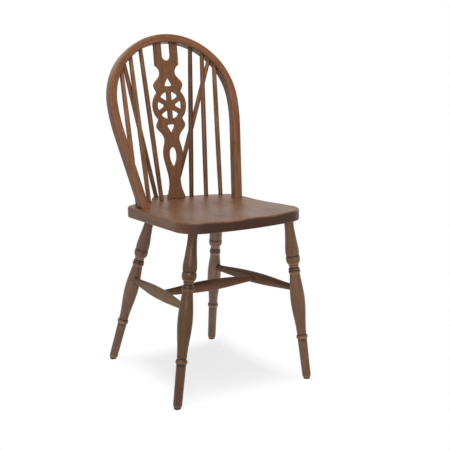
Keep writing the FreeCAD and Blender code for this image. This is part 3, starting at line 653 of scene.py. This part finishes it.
def moulded_nylon(name):
    """Black nylon, injection moulded: nearly black, with a dull sheen and a faint pebble."""
    material, tree = new_material(name)
    place = add(tree, "ShaderNodeTexCoord")
    pebble = add(tree, "ShaderNodeTexNoise", {"Vector": place.outputs["Object"], "Scale": 1 / (0.8 * MM),
                                              "Detail": 2}).outputs["Fac"]
    bump = add(tree, "ShaderNodeBump", {"Height": pebble, "Distance": 0.03 * MM}).outputs[0]
    tone = laid_over(tree, linear("0F0F0F"), linear("1C1B1A"), pebble)
    shader = add(tree, "ShaderNodeBsdfPrincipled", {
        "Base Color": tone, "Roughness": 0.6, "IOR": 1.53, "Specular IOR Level": 0.25,
        "Normal": bump})
    add(tree, "ShaderNodeOutputMaterial", {"Surface": shader.outputs[0]})
    return material


def drawn_steel(name):
    """Bright drawn steel wire, as nails are: light grey, with a streaky shine."""
    material, tree = new_material(name)
    place = add(tree, "ShaderNodeTexCoord")
    drawn = noise_along(tree, place.outputs["Object"], 0.4 * MM, 6 * MM, 2, 0)
    tone = laid_over(tree, linear("A9AAAB"), linear("C9CACB"), drawn)
    dull = add(tree, "ShaderNodeMapRange", {"Value": drawn, "From Min": 0.3, "From Max": 0.7,
                                            "To Min": 0.25, "To Max": 0.45}).outputs[0]
    shader = add(tree, "ShaderNodeBsdfPrincipled", {"Base Color": tone, "Metallic": 1.0,
                                                    "Roughness": dull})
    add(tree, "ShaderNodeOutputMaterial", {"Surface": shader.outputs[0]})
    return material


class CHAIR_OT_fittings(bpy.types.Operator):
    """Finish the glides, their nails and the bow's wedges"""
    bl_idname = "chair.fittings"
    bl_label = "Glides, nails and wedges"

    def execute(self, context):
        beech = context.scene.chair.beech
        nylon = moulded_nylon("moulded_black_nylon")
        for end in ("front", "rear"):
            for side in SIDES:
                give(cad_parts[f"{end}_glide_{side}"], nylon)
        give(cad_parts["glide_nails"], drawn_steel("drawn_steel"))
        give(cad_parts["bow_wedges"],
             stained_beech("stained_beech_wedges", tuple(beech.sticks), beech, 21,
                           end_axes=((0, 0, 1), (0, 0, 0))))
        return {"FINISHED"}


# Studio

# Where the camera stands, its turn to the right and tilt down in degrees, and its focal length in pixels
CAMERA_PLACE = (-1.40933, -2.28879, 0.98162)
CAMERA_YAW = 32.795
CAMERA_PITCH = 12.190
FOCAL_PIXELS = 1053.31
FRAME_PIXELS = 450
SENSOR = 36.0

# Each lamp's place and the length of its side, and the point that all of them face
LAMPS = {"key": ((-0.4, -0.5, 3.1), 1.3), "front": ((-1.9, -2.6, 1.4), 1.2),
         "left": ((-2.8, 0, 0.9), 0.35), "right": ((2.8, 0, 0.9), 0.35)}
LAMPS_FACE = Vector((0, 0, 0.45))

FLOOR_REACH = 12.0       # from the middle of the floor to its sides
# Distances between the feet, across and from front to back, times the root of a half
FEET_APART = (0.268, 0.302)
FADE_POWER = 0.85        # below 1, it draws the floor's shade out to a point at each foot


def lamp(name, watts):
    """A square soft lamp that faces the chair."""
    place, size = LAMPS[name]
    data = bpy.data.lights.new(name + "_lamp", "AREA")
    data.energy = watts
    data.size = size
    made = bpy.data.objects.new(name + "_lamp", data)
    bpy.context.scene.collection.objects.link(made)
    made.location = place
    made.rotation_euler = (LAMPS_FACE - Vector(place)).to_track_quat("-Z", "Y").to_euler()


def seen_directly(tree):
    """1 for rays that show the background itself: from the camera, in a gloss or through glass."""
    path = add(tree, "ShaderNodeLightPath").outputs
    gloss = add(tree, "ShaderNodeMath", {0: path["Is Camera Ray"], 1: path["Is Glossy Ray"]},
                operation="MAXIMUM").outputs[0]
    return add(tree, "ShaderNodeMath", {0: gloss, 1: path["Is Transmission Ray"]},
               operation="MAXIMUM").outputs[0]


def white_floor(studio):
    """Matt white paint on a smooth floor: it fades into the white behind it and keeps soft shadows.

    The fade grows with the distances from the two lines through feet that stand across from each
    other, each to a power just below 1, so that the shade is a patch with a point at each foot.
    """
    material, tree = new_material("matt_white_floor")
    matt = add(tree, "ShaderNodeBsdfDiffuse", {"Color": tuple(studio.floor)}).outputs[0]
    glow = add(tree, "ShaderNodeEmission", {"Color": (1, 1, 1)}).outputs[0]
    place = add(tree, "ShaderNodeTexCoord").outputs["Object"]
    square = add(tree, "ShaderNodeMapping", {"Vector": place,
                                             "Scale": (1 / FEET_APART[0], 1 / FEET_APART[1], 1)})
    turned = add(tree, "ShaderNodeMapping", {"Vector": square.outputs[0], "Rotation": (0, 0, math.pi / 4)})
    parts = add(tree, "ShaderNodeSeparateXYZ", {0: turned.outputs[0]}).outputs
    powers = []
    for part in parts[:2]:
        size = add(tree, "ShaderNodeMath", {0: part}, operation="ABSOLUTE").outputs[0]
        powers.append(add(tree, "ShaderNodeMath", {0: size, 1: FADE_POWER}, operation="POWER").outputs[0])
    away = add(tree, "ShaderNodeMath", {0: powers[0], 1: powers[1]}, operation="ADD").outputs[0]
    white = add(tree, "ShaderNodeMapRange", {"Value": away, "From Min": studio.fade_start,
                                             "From Max": studio.fade_end, "To Min": studio.glow,
                                             "To Max": 1}).outputs[0]
    seen = add(tree, "ShaderNodeMath", {0: seen_directly(tree), 1: white},
               operation="MULTIPLY").outputs[0]
    both = add(tree, "ShaderNodeMixShader", {0: seen, 1: matt, 2: glow})
    add(tree, "ShaderNodeOutputMaterial", {"Surface": both.outputs[0]})
    return material


def white_surround(studio):
    """White walls far off: plain white where they are seen, and a soft light on the rest."""
    world = bpy.data.worlds.new("white_surround")
    world.use_nodes = True
    world.node_tree.nodes.clear()
    tree = world.node_tree
    level = add(tree, "ShaderNodeMapRange", {"Value": seen_directly(tree), "To Min": studio.surround,
                                             "To Max": 1}).outputs[0]
    glow = add(tree, "ShaderNodeBackground", {"Color": (1, 1, 1), "Strength": level})
    add(tree, "ShaderNodeOutputWorld", {"Surface": glow.outputs[0]})
    return world


class CHAIR_OT_studio(bpy.types.Operator):
    """Lay the white floor, and set up the surroundings, lamps and camera"""
    bl_idname = "chair.studio"
    bl_label = "Studio"

    def execute(self, context):
        studio = context.scene.chair.studio
        mesh = bpy.data.meshes.new("floor")
        corners = [(x * FLOOR_REACH, y * FLOOR_REACH, 0) for x, y in ((-1, -1), (1, -1), (1, 1), (-1, 1))]
        mesh.from_pydata(corners, [], [(0, 1, 2, 3)])
        floor = bpy.data.objects.new("floor", mesh)
        context.scene.collection.objects.link(floor)
        give(floor, white_floor(studio))
        context.scene.world = white_surround(studio)
        for name in LAMPS:
            lamp(name, getattr(studio, name))

        data = bpy.data.cameras.new("camera")
        data.sensor_width = SENSOR
        data.lens = FOCAL_PIXELS * SENSOR / FRAME_PIXELS
        camera = bpy.data.objects.new("camera", data)
        context.scene.collection.objects.link(camera)
        camera.location = CAMERA_PLACE
        camera.rotation_euler = Euler((math.radians(90 - CAMERA_PITCH), 0, math.radians(-CAMERA_YAW)))
        context.scene.camera = camera
        context.scene.view_settings.view_transform = "Standard"
        return {"FINISHED"}


# Panel and registration

class ChairSettings(bpy.types.PropertyGroup):
    """All settings of the chair."""
    beech: PointerProperty(type=BeechSettings, name="Beech", description="The wood and its finish")
    bow: PointerProperty(type=BowSettings, name="Bow", description="Shape of the bow")
    studio: PointerProperty(type=StudioSettings, name="Studio",
                            description="Floor, lamps and surroundings")


OPERATORS = (CHAIR_OT_seat, CHAIR_OT_bow, CHAIR_OT_splat, CHAIR_OT_sticks, CHAIR_OT_legs,
             CHAIR_OT_stretchers, CHAIR_OT_fittings, CHAIR_OT_studio)


class CHAIR_PT_panel(bpy.types.Panel):
    """Lists the chair's operators and settings"""
    bl_label = "Wheelback chair"
    bl_idname = "CHAIR_PT_panel"
    bl_space_type = "VIEW_3D"
    bl_region_type = "UI"
    bl_category = "Chair"

    def draw(self, context):
        for operator in OPERATORS:
            self.layout.operator(operator.bl_idname)
        for group in ("beech", "bow", "studio"):
            settings = getattr(context.scene.chair, group)
            box = self.layout.box()
            for name in settings.__annotations__:
                box.prop(settings, name)


CLASSES = (BeechSettings, BowSettings, StudioSettings, ChairSettings) + OPERATORS + (CHAIR_PT_panel,)


def register():
    for made in CLASSES:
        bpy.utils.register_class(made)
    bpy.types.Scene.chair = PointerProperty(type=ChairSettings)


def unregister():
    del bpy.types.Scene.chair
    for made in reversed(CLASSES):
        bpy.utils.unregister_class(made)


def main():
    register()
    bpy.ops.chair.seat()
    bpy.ops.chair.bow()
    bpy.ops.chair.splat()
    bpy.ops.chair.sticks()
    bpy.ops.chair.legs()
    bpy.ops.chair.stretchers()
    bpy.ops.chair.fittings()
    bpy.ops.chair.studio()


if __name__ == "__main__":
    main()
